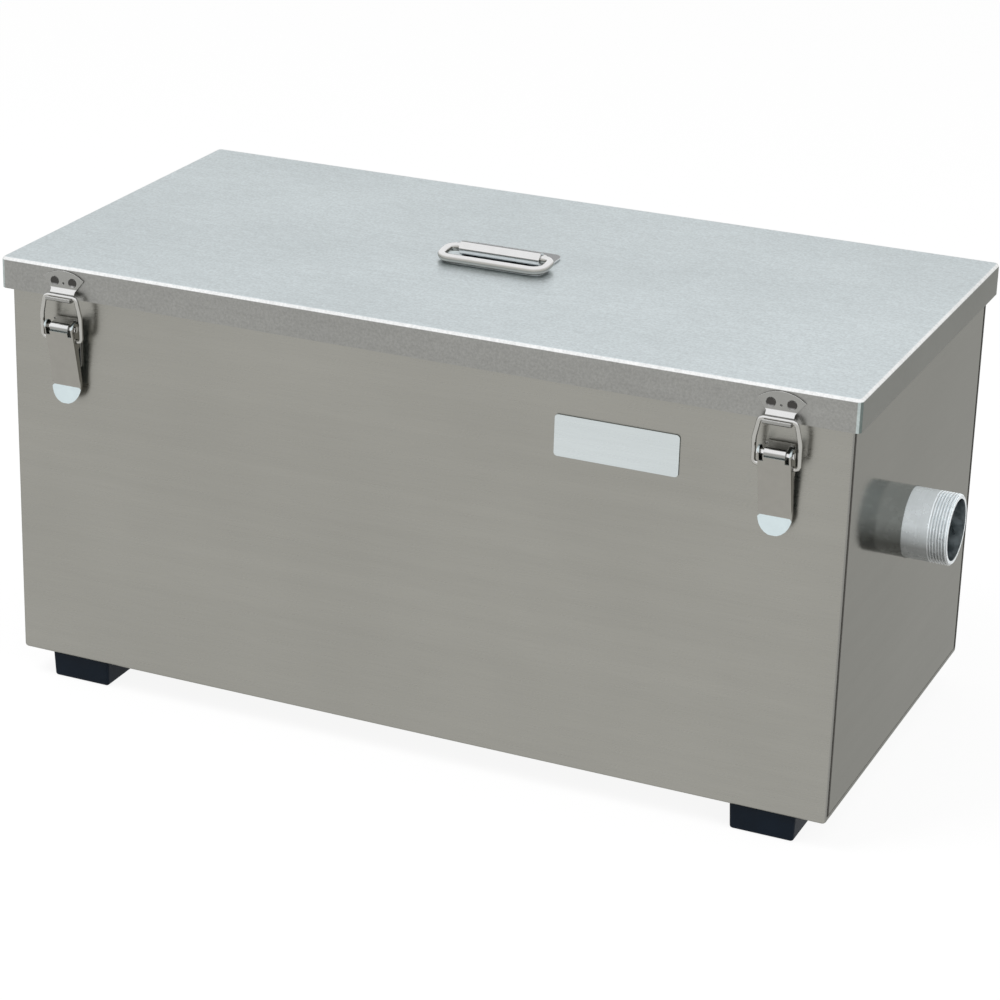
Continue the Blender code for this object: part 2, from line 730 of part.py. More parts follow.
def handle_rivets():
    mesh = dome_rivet_mesh()
    for label, (x, y) in zip(("inlet", "outlet"), handle_rivet_places()):
        rivet = link("handle_rivet_" + label, mesh, POLISHED)
        rivet.location = (x, y, LID_TOP + GAP + HANDLE_SHEET + GAP)


def handle_bail():
    """The bent wire grip, folded forward until its bar lies on the lid."""
    side = (HANDLE_OUTER - HANDLE_WIRE) / 2
    inner = SLEEVE_LENGTH / 2 - HANDLE_ENTRY
    lean = math.asin((sleeve_height() - HANDLE_WIRE / 2 - GAP) / HANDLE_REACH)
    corners = [
        (-inner, 0, 0),
        (-side, 0, HANDLE_EYE_CORNER),
        (-side, -HANDLE_REACH, HANDLE_CORNER),
        (side, -HANDLE_REACH, HANDLE_CORNER),
        (side, 0, HANDLE_EYE_CORNER),
        (inner, 0, 0),
    ]
    path = [(x, y, 0) for x, y in rounded(corners, steps=4)]
    bail = wire("handle_bail", path, HANDLE_WIRE, POLISHED, resolution=4)
    bail.location = (0, HANDLE_SHIFT_Y, LID_TOP + sleeve_height())
    bail.rotation_euler = (lean, 0, 0)
    return bail


def foot(name, place):
    """A moulded block with rounded edges, a little narrower at the floor."""
    bm = bmesh.new()
    height = FOOT_HEIGHT - GAP
    bmesh.ops.create_cube(bm, size=1.0)
    bmesh.ops.scale(bm, vec=(FOOT_LENGTH, FOOT_DEPTH, height), verts=bm.verts)
    bmesh.ops.translate(bm, vec=(0, 0, height / 2), verts=bm.verts)
    under = [v for v in bm.verts if v.co.z < TINY]
    for vert in under:
        vert.co.x -= math.copysign(FOOT_TAPER, vert.co.x)
        vert.co.y -= math.copysign(FOOT_TAPER, vert.co.y)
    edges = [e for e in bm.edges if min(v.co.z for v in e.verts) < TINY]
    bmesh.ops.bevel(bm, geom=edges, offset=FOOT_ROUND, segments=2, affect="EDGES", profile=0.5)
    made = from_bmesh(name, bm, FOOT_BLACK)
    made.location = place
    return made


def latch_places():
    """Label, turn about Z and X of each latch; the back ones face the other way."""
    reach = TANK_LENGTH / 2 - LATCH_END_INSET
    places = []
    for face, turn in (("front", 0.0), ("back", math.pi)):
        for end, sign in (("inlet", -1), ("outlet", 1)):
            places.append(("%s_%s" % (face, end), turn, sign * reach))
    return places


def side_view(points):
    """Turns (out, up) points of a latch into the (Y, Z) of a latch that faces -Y."""
    return [(-out, up) for out, up in points]


def bail_pivot():
    """The bail's pivot from the pin, as (out, up)."""
    angle = math.radians(BAIL_PIVOT_ANGLE)
    return -BAIL_PIVOT_RADIUS * math.sin(angle), -BAIL_PIVOT_RADIUS * math.cos(angle)


def bail_bar():
    """The bail's top bar from the pin, as (out, up)."""
    return BAIL_BAR_OUT - PIN_OUT, PIN_DROP - BAIL_BAR_DROP


def base_mesh():
    """The latch base, from the pin: a plate on the wall, bent out and rolled round the pin."""
    wall = GAP + LATCH_SHEET / 2 - PIN_OUT
    roll = PIN_DIAMETER / 2 + GAP + LATCH_SHEET / 2
    curl = arc((0, 0), roll, 100, 100 - KNUCKLE_CURL, 9)
    corners = [
        (wall, -BASE_LENGTH, 0),
        (wall, BASE_RISE, LATCH_SHEET),
        (wall + 2 * LATCH_SHEET, BASE_RISE + LATCH_SHEET / 2, LATCH_SHEET),
        (curl[0][0], curl[0][1], 0),
    ]
    path = side_view(rounded(corners, steps=2)[:-1] + curl)
    half = BASE_WIDTH / 2
    base = strip("latch_base", path, -half, half, LATCH_SHEET, POLISHED)
    for side in (-1, 1):
        xs = sorted((side * KNUCKLE_WIDTH / 2, side * BASE_WIDTH))
        low_corner = (xs[0], -PIN_OUT, -PIN_OUT / 2)
        cut(base, block("base_side", low_corner, (xs[1], PIN_OUT / 2, PIN_OUT)))
    return baked_mesh(base)


def lever_side():
    """The lever's outline seen from the side, as (out, up) from the pin."""
    foot_out = LEVER_FOOT_OUT - PIN_OUT
    tip = math.radians(LEVER_TIP_TURN)
    tip_out = foot_out + LEVER_TIP * math.sin(tip)
    tip_up = -LEVER_LENGTH - LEVER_TIP * math.cos(tip)
    sheet = LATCH_SHEET
    pivot_out, pivot_up = bail_pivot()
    cheek_top = pivot_up - LEVER_EAR - LEVER_CHEEK / 2
    slope = (LEVER_EAR - foot_out) / LEVER_LENGTH
    points = arc((0, 0), LEVER_EAR, 200, 0, 6)
    points += [
        (foot_out, -LEVER_LENGTH),
        (tip_out, tip_up),
        (tip_out - sheet, tip_up),
        (foot_out - sheet, -LEVER_LENGTH - sheet / 2),
        (foot_out - LEVER_CHEEK_END, LEVER_CHEEK_END - LEVER_LENGTH),
        (LEVER_EAR + slope * cheek_top - LEVER_CHEEK, cheek_top),
        (pivot_out - LEVER_EAR, pivot_up - LEVER_EAR),
    ]
    return points


def lever_channel_cut():
    """What is taken out of the lever block to leave a channel, as (out, up) from the pin."""
    sheet = LATCH_SHEET
    front = LEVER_EAR - sheet
    foot_out = LEVER_FOOT_OUT - PIN_OUT - sheet
    return [
        (front, 4 * LEVER_EAR),
        (front, 0),
        (foot_out, -LEVER_LENGTH),
        (-2 * PIN_OUT, -LEVER_LENGTH),
        (-2 * PIN_OUT, 4 * LEVER_EAR),
    ]


def lever_mesh():
    """The lever, from the pin: a channel with ears, slots beside the knuckle and a round tip."""
    across = Matrix(((0, 0, -1, 0), (-1, 0, 0, 0), (0, 1, 0, 0), (0, 0, 0, 1)))
    body = outline_solid("latch_lever", lever_side(), LEVER_WIDTH, across, PARTS, POLISHED)
    bm = bmesh.new()
    bm.from_mesh(body.data)
    long = [edge for edge in bm.edges if edge.calc_length() > LEVER_LENGTH - LEVER_EAR]
    front = [edge for edge in long if edge.calc_face_angle() > math.radians(45)]
    bmesh.ops.bevel(bm, geom=front, offset=LEVER_FOLD, segments=2, affect="EDGES", profile=0.5)
    bm.to_mesh(body.data)
    bm.free()
    inner = LEVER_WIDTH - 2 * LATCH_SHEET
    cut(body, outline_solid("lever_inside", lever_channel_cut(), inner, across))
    slot_out = LEVER_WIDTH / 2 - LEVER_FOLD
    slot_in = KNUCKLE_WIDTH / 2
    top = 2 * LEVER_EAR
    cut(body, block("lever_notch", (-slot_out, -top, -LEVER_NOTCH_DROP), (slot_out, 2 * PIN_OUT, top)))
    for side in (-1, 1):
        xs = sorted((side * slot_in, side * slot_out))
        cut(body, block("lever_slot", (xs[0], -top, -LEVER_SLOT_DROP), (xs[1], 2 * PIN_OUT, top)))
    radius = PIN_DIAMETER / 2 + GAP
    half = LEVER_WIDTH
    cut(body, rod("lever_pin_hole", radius, ((-half, 0, 0), (half, 0, 0))))
    out, up = bail_pivot()
    radius = BAIL_WIRE / 2 + GAP
    cut(body, rod("lever_bail_hole", radius, ((-half, -out, up), (half, -out, up))))
    cut(body, lever_front(), "INTERSECT")
    return baked_mesh(body)


def lever_front():
    """The lever's outline seen from the front: straight sides and a half-round tip."""
    half = LEVER_WIDTH / 2
    low = -LEVER_LENGTH
    tip = [
        (half * math.cos(angle), low - LEVER_TIP * math.sin(angle))
        for angle in (math.pi * step / 12 for step in range(13))
    ]
    top = 2 * LEVER_EAR
    points = [(-half - GAP, top), (half + GAP, top), (half + GAP, low)] + tip[1:-1] + [(-half - GAP, low)]
    upright = Matrix.Rotation(math.pi / 2, 4, "X")
    return outline_solid("lever_front", points, 6 * PIN_OUT, upright)


def bail_mesh():
    """The bail, from its pivot: in through one ear, up, across the catch and down again."""
    pivot_out, pivot_up = bail_pivot()
    bar_out, bar_up = bail_bar()
    rise = bar_up - pivot_up
    lean = bar_out - pivot_out
    low = (BAIL_WIDTH - BAIL_WIRE) / 2
    high = (BAIL_TOP_WIDTH - BAIL_WIRE) / 2
    entry = LEVER_WIDTH / 2 - BAIL_ENTRY / 2
    corners = [
        (-entry, 0, 0),
        (-low, 0, BAIL_EYE_CORNER),
        (-low, BAIL_WAIST_RISE, BAIL_WAIST_ROUND),
        (-high, rise, BAIL_CORNER),
        (high, rise, BAIL_CORNER),
        (low, BAIL_WAIST_RISE, BAIL_WAIST_ROUND),
        (low, 0, BAIL_EYE_CORNER),
        (entry, 0, 0),
    ]
    path = [(x, -lean * z / rise, z) for x, z in rounded(corners, steps=2)]
    return baked_mesh(wire("latch_bail", path, BAIL_WIRE, POLISHED))


def pin_mesh():
    """The hinge pin, across X, with a small head at each end."""
    half = LEVER_WIDTH / 2 + GAP
    radius = PIN_DIAMETER / 2
    head = PIN_HEAD_DIAMETER / 2
    profile = [
        (0, half + PIN_HEAD),
        (head, half + PIN_HEAD),
        (head, half),
        (radius, half),
        (radius, -half),
        (head, -half),
        (head, -half - PIN_HEAD),
        (0, -half - PIN_HEAD),
    ]
    pin = turned("latch_pin", profile, 12, POLISHED)
    return baked_mesh(pin)


def catch_mesh():
    """The catch, from the wall at floor level: a domed plate whose tongue hooks the bail's bar."""
    sheet = LATCH_SHEET
    flat = LID_OVERHANG + GAP + sheet / 2
    room = BAIL_WIRE / 2 + GAP + sheet / 2
    lip = BAIL_BAR_OUT + room + HOOK_SLACK
    inner = BAIL_BAR_OUT - room
    bar = LID_TOP - BAIL_BAR_DROP
    seat = bar - room
    bend = BAIL_WIRE / 2 + GAP
    corners = [
        (flat, LID_TOP - CATCH_TOP_DROP + sheet, 0),
        (flat, LID_TOP - CATCH_NECK_DROP + sheet / 2, 2 * sheet),
        (inner, bar + BAIL_WIRE / 2, sheet),
        (inner, seat, bend),
        (lip, seat, bend),
        (lip, bar, 0),
    ]
    half = CATCH_WIDTH / 2
    path = side_view(rounded(corners, steps=3))
    plate = strip("catch_plate", path, -half - sheet, half + sheet, sheet, POLISHED)
    cut(plate, catch_front(half), "INTERSECT")
    for step in (-1, 1):
        x = step * CATCH_RIVET_SPACING / 2
        z = LID_TOP - CATCH_RIVET_DROP
        cut(plate, rivet_sink("catch_sink", x, -flat - sheet / 2, z))
    ends = ((0, -2 * flat, LID_TOP - CATCH_HOLE_DROP), (0, 0, LID_TOP - CATCH_HOLE_DROP))
    cut(plate, rod("catch_middle_hole", CATCH_MIDDLE_HOLE / 2, ends, 8))
    return baked_mesh(plate)


def catch_front(half):
    """The catch seen from the front: a dome, and straight slopes from its ends to the tongue."""
    spread = math.degrees(math.asin(half / CATCH_DOME))
    centre = (0, LID_TOP - CATCH_TOP_DROP - CATCH_DOME)
    dome = arc(centre, CATCH_DOME, 90 - spread, 90 + spread, 8)
    neck = LID_TOP - CATCH_NECK_DROP
    tongue = HOOK_WIDTH / 2
    under = LID_TOP - 2 * LID_SKIRT
    points = dome + [(-tongue, neck), (-tongue, under), (tongue, under), (tongue, neck)]
    upright = Matrix.Rotation(math.pi / 2, 4, "X")
    return outline_solid("catch_front", points, 4 * (LID_OVERHANG + BAIL_BAR_OUT), upright)


def rivet_sink(name, x, face_y, z):
    """The cutter for a countersunk hole in a face that looks toward -Y."""
    head = RIVET_HEAD / 2 + RIVET_PLAY
    shank = RIVET_SHANK / 2 + RIVET_PLAY
    profile = [
        (0, RIVET_PLAY),
        (head + RIVET_PLAY, RIVET_PLAY),
        (head, 0),
        (shank, -RIVET_SUNK),
        (shank, -2 * RIVET_LENGTH),
        (0, -2 * RIVET_LENGTH),
    ]
    sink = turned(name, profile, 12, None, CUTTERS)
    sink.rotation_euler = (math.pi / 2, 0, 0)
    sink.location = (x, face_y, z)
    return sink


def sunk_rivet_mesh():
    """A dished countersunk rivet, its rim at Z = 0 and its shank down."""
    head = RIVET_HEAD / 2
    shank = RIVET_SHANK / 2
    profile = [
        (0, -RIVET_DISH),
        (shank, -RIVET_DISH),
        (head - RIVET_RIM, 0),
        (head, 0),
        (shank, -RIVET_SUNK),
        (shank, -RIVET_LENGTH),
        (0, -RIVET_LENGTH),
    ]
    return baked_mesh(turned("catch_rivet", profile, 12, POLISHED))


def latches():
    """Four latches: what is fixed to the tank or the lid, and the lever and bail that move."""
    base = base_mesh()
    pin = pin_mesh()
    lever = lever_mesh()
    bail = bail_mesh()
    catch = catch_mesh()
    rivet = sunk_rivet_mesh()
    pin_height = LID_TOP - PIN_DROP
    pivot_out, pivot_up = bail_pivot()
    for label, turn, place_x in latch_places():
        mount = bpy.data.objects.new("latch_place_" + label, None)
        PARTS.objects.link(mount)
        mount.location = (place_x, -math.cos(turn) * TANK_WIDTH / 2, 0)
        mount.rotation_euler = (0, 0, turn)
        at_pin = (0, -PIN_OUT, pin_height)
        for piece_name, mesh in (("latch_base_", base), ("latch_lever_", lever)):
            piece = link(piece_name + label, mesh, POLISHED)
            piece.parent = mount
            piece.location = at_pin
        turning = piece
        axle = link("latch_pin_" + label, pin, POLISHED)
        axle.parent = mount
        axle.location = at_pin
        axle.rotation_euler = (0, math.pi / 2, 0)
        loop = link("latch_bail_" + label, bail, POLISHED)
        loop.parent = turning
        loop.location = (0, -pivot_out, pivot_up)
        hook = link("catch_" + label, catch, POLISHED)
        hook.parent = mount
        for side, step in (("a", -1), ("b", 1)):
            fixing = link("catch_rivet_%s_%s" % (label, side), rivet, POLISHED)
            fixing.parent = mount
            face = LID_OVERHANG + GAP + LATCH_SHEET
            x = step * CATCH_RIVET_SPACING / 2
            fixing.location = (x, -face, LID_TOP - CATCH_RIVET_DROP)
            fixing.rotation_euler = (math.pi / 2, 0, 0)


def feet():
    reach_x = TANK_LENGTH / 2 - FOOT_END_INSET - FOOT_LENGTH / 2
    reach_y = TANK_WIDTH / 2 - FOOT_FRONT_INSET - FOOT_DEPTH / 2
    for face, side in (("front", -1), ("back", 1)):
        for end, sign in (("inlet", -1), ("outlet", 1)):
            foot("foot_%s_%s" % (face, end), (sign * reach_x, side * reach_y, 0))


def build():
    tank_wrapper()
    for end, sign in (("inlet", -1), ("outlet", 1)):
        end_panel("end_panel_" + end, sign)
        nipple("nipple_" + end, sign)
    dip_elbow()
    for end, place_x in (("inlet", BAFFLE_INLET_X), ("outlet", BAFFLE_OUTLET_X)):
        baffle("baffle_" + end, place_x)
        for face, side in (("front", -1), ("back", 1)):
            guide("guide_%s_%s" % (end, face), place_x, side)
    for face, side in (("front", -1), ("back", 1)):
        basket_rail("basket_rail_" + face, side)
    strainer_basket()
    basket_handle()
    lid_gasket()
    lid()
    handle_plate()
    handle_rivets()
    handle_bail()
    feet()
    latches()


build()
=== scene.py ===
# Looks of the grease trap: brushed steel, mottled lid, polished hardware and a pale studio.
# Metres, +Z up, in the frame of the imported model.

import math

import bmesh
import bpy
from mathutils import Matrix, Vector


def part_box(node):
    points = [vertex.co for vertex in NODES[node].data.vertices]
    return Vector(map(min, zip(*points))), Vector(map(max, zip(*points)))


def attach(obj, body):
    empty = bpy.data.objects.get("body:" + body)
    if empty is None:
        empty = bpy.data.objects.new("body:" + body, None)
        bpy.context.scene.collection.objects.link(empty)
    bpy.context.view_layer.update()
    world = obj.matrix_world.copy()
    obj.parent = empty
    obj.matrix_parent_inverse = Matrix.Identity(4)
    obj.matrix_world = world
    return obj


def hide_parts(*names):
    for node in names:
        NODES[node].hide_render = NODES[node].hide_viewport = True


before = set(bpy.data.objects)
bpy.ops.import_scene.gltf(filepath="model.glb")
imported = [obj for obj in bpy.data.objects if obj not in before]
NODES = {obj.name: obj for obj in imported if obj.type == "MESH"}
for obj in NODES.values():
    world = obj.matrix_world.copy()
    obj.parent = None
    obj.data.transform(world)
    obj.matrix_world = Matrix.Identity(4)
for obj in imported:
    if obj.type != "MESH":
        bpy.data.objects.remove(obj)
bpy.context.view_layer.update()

# Camera of the photograph: angles in degrees, lens in millimetres, shift in picture widths,
# and the place of the middle of the lid's top as seen from it, in lid lengths
CAMERA_AZIMUTH = 25.117
CAMERA_ELEVATION = 22.000
CAMERA_ROLL = 0.918
CAMERA_LENS = 111.71
CAMERA_SHIFT = (0.1, 0.0)
SENSOR_WIDTH = 36.0
LID_ACROSS = 0.1152
LID_UP = 0.2695
LID_DISTANCE = 3.4756

# Colours, linear
STEEL_WALL = (0.315, 0.310, 0.282)
# Painted shade: the steel of the end faces, darker than the front and back because less light falls on them
STEEL_END_SHADED = (0.250, 0.248, 0.232)
STEEL_INSIDE = (0.42, 0.42, 0.40)
# Painted light on the lid: the top paler as lit from above, and a painted highlight on its bends
LID_TOP_LIT = (0.735, 0.800, 0.830)
LID_BEND_HIGHLIGHT = (0.96, 0.97, 0.97)
LID_SKIRT = (0.305, 0.305, 0.290)
# Painted shade on the skirt's ends, and a painted highlight and painted shade on its rounded corners
LID_SKIRT_END_SHADE = (0.240, 0.243, 0.230)
CORNER_HIGHLIGHT = (0.47, 0.53, 0.52)
CORNER_SHADE = (0.15, 0.18, 0.17)
BADGE_PALE = (0.60, 0.645, 0.65)
# Painted light and shade on the pipe: pale where it looks up, darker where it looks down
ZINC = (0.84, 0.90, 0.93)
ZINC_PAINTED_SHADE = (0.28, 0.29, 0.285)
PIPE_INSIDE = (0.40, 0.45, 0.47)
CHROME = (0.78, 0.78, 0.78)
# Painted reflection: the darker colour of chrome wire on faces that look aside
WIRE_PAINTED_REFLECTION = (0.42, 0.415, 0.39)
LEVER_STEEL = (0.30, 0.292, 0.265)
# Painted highlight on the lever's tip, where it looks up
TIP_HIGHLIGHT = (0.66, 0.75, 0.77)
# Painted shade in the rivets' dishes, on faces that look aside or down
RIVET_SHADE = (0.06, 0.058, 0.055)
# Painted reflection: the handle plate greyer where it looks straight up
FLANGE_PAINTED_REFLECTION = (0.20, 0.205, 0.21)
FOOT_DARK = (0.002, 0.006, 0.012)
GASKET_GREY = (0.05, 0.05, 0.05)
# Dark joint strips, wider than the gap, so partly painted shade
SEAM_DARK = (0.030, 0.027, 0.022)
FLOOR_COLOUR = (0.95, 0.95, 0.95)

# Reflectance of the sheets at grazing angles, against that of clean metal
GRAZING_TINT = (0.60, 0.60, 0.58, 1.0)
ZINC_METAL = 0.20
RUBBER_GLOSS = 0.12

# Tones of the lid's skirt by the square of the X part of its normal, of its top by the Z part: a painted
# highlight and painted shade on the skirt's rounded corners, painted shade on its ends, a painted highlight
# on the bends and a top painted paler as lit from above
SKIRT_TONES_AND_PAINTED_LIGHT = (
    (0.0, LID_SKIRT),
    (0.05, LID_SKIRT),
    (0.09, CORNER_HIGHLIGHT),
    (0.40, CORNER_HIGHLIGHT),
    (0.50, CORNER_SHADE),
    (0.93, CORNER_SHADE),
    (0.97, LID_SKIRT_END_SHADE),
)
TOP_PAINTED_LIGHT = ((0.0, LID_BEND_HIGHLIGHT), (0.90, LID_BEND_HIGHLIGHT), (0.97, LID_TOP_LIT))
SKIRT_TO_TOP = (0.18, 0.34)
# Where faces toward the ends take the painted shade of the end steel
WALL_TO_END_SHADE = (0.4, 0.7)
# Where the pipe turns from painted shade below to painted light above
ZINC_SHADE_TO_LIT = (-0.35, 0.30)

# Light on the object, by the sine of the height above the horizon; the sides are dimmer
FRONT_LIGHT = ((0.0, 0.12), (0.05, 0.25), (0.35, 0.30), (0.65, 0.45), (0.88, 1.0))
BACK_LIGHT = ((0.0, 0.55), (0.25, 0.85), (0.42, 1.0))
FRONT_TO_BACK = (-0.25, 0.10)
SIDE_LIGHT = 0.35
SIDE_REACH = (0.35, 0.75)

# Lamps: name, place, size and power in watts
LAMPS = (
    ("key", (-1.0, -1.05, 2.4), 1.3, 42),
    ("fill", (2.2, -1.2, 1.6), 1.2, 30),
)
LAMP_TARGET = (0, 0, 0.15)

# Floor, and the part of it that is plain white where it is seen
FLOOR_HALF = 12.0
FLOOR_WHITE = 0.90

# Texture stretch
EVEN = (1.0, 1.0, 1.0)
ALONG = {"X": (0.02, 1.0, 1.0), "Y": (1.0, 0.02, 1.0), "Z": (1.0, 1.0, 0.02)}

# Edges of the CAD pieces
WELD_REACH = 0.00001
FLAT_ANGLE = math.radians(0.5)
SHARP_ANGLE = math.radians(38)
SHEET_EDGE = 0.00018
FINE_EDGE = 0.00010
FOOT_EDGE = 0.0006
CLEARANCE = 0.0003

# Badge place on the front
BADGE_LOW_X = 0.1036
BADGE_HIGH_X = 0.1886
BADGE_TOP_DROP = 0.0448
BADGE_LOW_DROP = 0.0733
BADGE_THICKNESS = 0.0008
BADGE_CORNER = 0.0025

# Sealed joints where the end panels meet the wrapper's folded edges; their dark strips are wider than the
# gap and partly painted shade
SEAM_WIDTH = 0.0028
SEAM_THICKNESS = 0.0002
SEAM_INSET = 0.0046

# Rounded bends of the lid
LID_SHEET = 0.0015
LID_BEND_RADIUS = 0.0026
LID_CORNER_RADIUS = 0.0040
BEND_STEPS = 6

# Pipe nipples, with their thread cut fine
PIPE_RADIUS = 0.02415
PIPE_WALL = 0.0032
STUB_IN = 0.012
THREAD_LENGTH = 0.0140
THREAD_PITCH = 0.0020
THREAD_DEPTH = 0.0010
THREAD_CREST = 0.36
THREAD_RUNOUT = 1.5
MOUTH_CHAMFER = 0.0010
ROUND_STEPS = 128
PITCH_STEPS = 12


def new_material(name):
    """A node material, its tree and its Principled shader."""
    material = bpy.data.materials.new(name)
    material.use_nodes = True
    return material, material.node_tree, material.node_tree.nodes["Principled BSDF"]


def add(tree, kind, **values):
    node = tree.nodes.new(kind)
    for name, value in values.items():
        setattr(node, name, value)
    return node


def feed(tree, source, socket):
    """Gives a socket its colour: one written down, or one from another node."""
    if isinstance(source, tuple):
        socket.default_value = (*source, 1.0)[: len(socket.default_value)]
    else:
        tree.links.new(source, socket)


def noise(tree, scale, stretch=EVEN, detail=3.0, roughness=0.6):
    """Noise in the object's own coordinates, stretched along an axis."""
    place = add(tree, "ShaderNodeTexCoord")
    mapping = add(tree, "ShaderNodeMapping")
    mapping.inputs["Scale"].default_value = stretch
    pattern = add(tree, "ShaderNodeTexNoise")
    pattern.inputs["Scale"].default_value = scale
    pattern.inputs["Detail"].default_value = detail
    pattern.inputs["Roughness"].default_value = roughness
    tree.links.new(place.outputs["Object"], mapping.inputs["Vector"])
    tree.links.new(mapping.outputs["Vector"], pattern.inputs["Vector"])
    return pattern.outputs["Fac"]


def spread(tree, value, low, high, low_in=0.3, high_in=0.7):
    """Maps a value to a range; the usual spread of noise is taken where none is given."""
    ranged = add(tree, "ShaderNodeMapRange")
    ranged.inputs["From Min"].default_value = low_in
    ranged.inputs["From Max"].default_value = high_in
    ranged.inputs["To Min"].default_value = low
    ranged.inputs["To Max"].default_value = high
    tree.links.new(value, ranged.inputs["Value"])
    return ranged.outputs["Result"]


def ripple(tree, value, amount):
    """Noise as a factor around one."""
    return spread(tree, value, 1 - amount, 1 + amount)


def times(tree, *values):
    """The product of two or more values."""
    result = values[0]
    for value in values[1:]:
        product = add(tree, "ShaderNodeMath", operation="MULTIPLY")
        tree.links.new(result, product.inputs[0])
        tree.links.new(value, product.inputs[1])
        result = product.outputs["Value"]
    return result


def shaded(tree, colour, value):
    """A colour whose brightness follows a value."""
    scaled = add(tree, "ShaderNodeVectorMath", operation="SCALE")
    feed(tree, colour, scaled.inputs["Vector"])
    tree.links.new(value, scaled.inputs["Scale"])
    return scaled.outputs["Vector"]


def blend(tree, part, first, second):
    """First colour where the value is nothing, second where it is one."""
    mixed = add(tree, "ShaderNodeMix", data_type="RGBA")
    tree.links.new(part, mixed.inputs["Factor"])
    feed(tree, first, mixed.inputs["A"])
    feed(tree, second, mixed.inputs["B"])
    return mixed.outputs["Result"]


def ramp_of(tree, value, stops):
    """A colour that changes with a value."""
    ramp = add(tree, "ShaderNodeValToRGB")
    elements = ramp.color_ramp.elements
    for index, (level, colour) in enumerate(stops):
        stop = elements[index] if index < 2 else elements.new(level)
        stop.position = level
        stop.color = (*colour, 1)
    tree.links.new(value, ramp.inputs["Fac"])
    return ramp.outputs["Color"]


def facing(tree, axis, kind="Normal"):
    """How far a face looks along an axis, from -1 to 1."""
    geometry = add(tree, "ShaderNodeNewGeometry")
    split = add(tree, "ShaderNodeSeparateXYZ")
    tree.links.new(geometry.outputs[kind], split.inputs["Vector"])
    return split.outputs[axis]


def level_part(tree, low, high, kind="Normal"):
    """One where a face looks up, nothing where it looks sideways."""
    return spread(tree, facing(tree, "Z", kind), 0.0, 1.0, low, high)


def endward(tree):
    """The square of how far a face looks toward an end of the tank."""
    along = facing(tree, "X")
    return times(tree, along, along)


def bump(tree, shader, height, strength, distance):
    relief = add(tree, "ShaderNodeBump")
    relief.inputs["Strength"].default_value = strength
    relief.inputs["Distance"].default_value = distance
    tree.links.new(height, relief.inputs["Height"])
    tree.links.new(relief.outputs["Normal"], shader.inputs["Normal"])


def brushed(name, colour, side, along, roughness, contrast=0.05, anisotropy=0.6):
    """Brushed steel: scratches along one axis, soft clouds, and painted shade: its darker tone on faces
    toward the ends.
    """
    material, tree, shader = new_material(name)
    fine = noise(tree, 1400.0, ALONG[along], detail=4.0, roughness=0.75)
    broad = noise(tree, 90.0, ALONG[along])
    clouds = noise(tree, 7.0, roughness=0.5)
    shade = times(tree, ripple(tree, fine, contrast), ripple(tree, broad, 0.02), ripple(tree, clouds, 0.03))
    # Painted shade: faces toward the ends take the darker colour
    both = blend(tree, spread(tree, endward(tree), 0.0, 1.0, *WALL_TO_END_SHADE), colour, side)
    tree.links.new(shaded(tree, both, shade), shader.inputs["Base Color"])
    tree.links.new(spread(tree, fine, 0.8 * roughness, 1.25 * roughness), shader.inputs["Roughness"])
    shader.inputs["Metallic"].default_value = 1.0
    shader.inputs["Anisotropic"].default_value = anisotropy
    shader.inputs["Specular Tint"].default_value = GRAZING_TINT
    tangent = add(tree, "ShaderNodeCombineXYZ")
    tangent.inputs["Z"].default_value = 1.0
    tree.links.new(tangent.outputs["Vector"], shader.inputs["Tangent"])
    bump(tree, shader, fine, strength=0.12, distance=0.00005)
    return material


def mottled_lid():
    """Sandy grain, with painted light: a top painted paler as lit from above, a painted highlight on the
    bends, and a skirt with the walls' tone, a painted highlight and painted shade on its corners and
    painted shade on its ends.
    """
    material, tree, shader = new_material("lid_pale")
    grain = noise(tree, 520.0, detail=2.0, roughness=0.7)
    streaks = noise(tree, 240.0, (0.2, 1.0, 1.0))
    clouds = noise(tree, 9.0, (0.6, 1.0, 1.0), roughness=0.5)
    sand = spread(tree, grain, 0.86, 1.08)
    shade = times(tree, sand, ripple(tree, clouds, 0.04), ripple(tree, streaks, 0.03))
    # Painted highlight and painted shade on the skirt's corners, painted shade on its ends
    skirt = ramp_of(tree, endward(tree), SKIRT_TONES_AND_PAINTED_LIGHT)
    # Painted highlight on the bends; the top painted paler, as lit from above
    top = ramp_of(tree, facing(tree, "Z"), TOP_PAINTED_LIGHT)
    colour = blend(tree, level_part(tree, *SKIRT_TO_TOP), skirt, top)
    tree.links.new(shaded(tree, colour, shade), shader.inputs["Base Color"])
    tree.links.new(spread(tree, grain, 0.28, 0.38), shader.inputs["Roughness"])
    shader.inputs["Metallic"].default_value = 1.0
    shader.inputs["Specular Tint"].default_value = GRAZING_TINT
    bump(tree, shader, grain, strength=0.10, distance=0.0001)
    return material


def polished(name, colour, roughness):
    """Polished metal with a faint haze and hairline marks."""
    material, tree, shader = new_material(name)
    haze = noise(tree, 160.0, detail=4.0)
    tree.links.new(shaded(tree, colour, spread(tree, haze, 0.96, 1.02)), shader.inputs["Base Color"])
    tree.links.new(spread(tree, haze, roughness * 0.7, roughness * 1.4), shader.inputs["Roughness"])
    shader.inputs["Metallic"].default_value = 1.0
    bump(tree, shader, haze, strength=0.03, distance=0.0001)
    return material


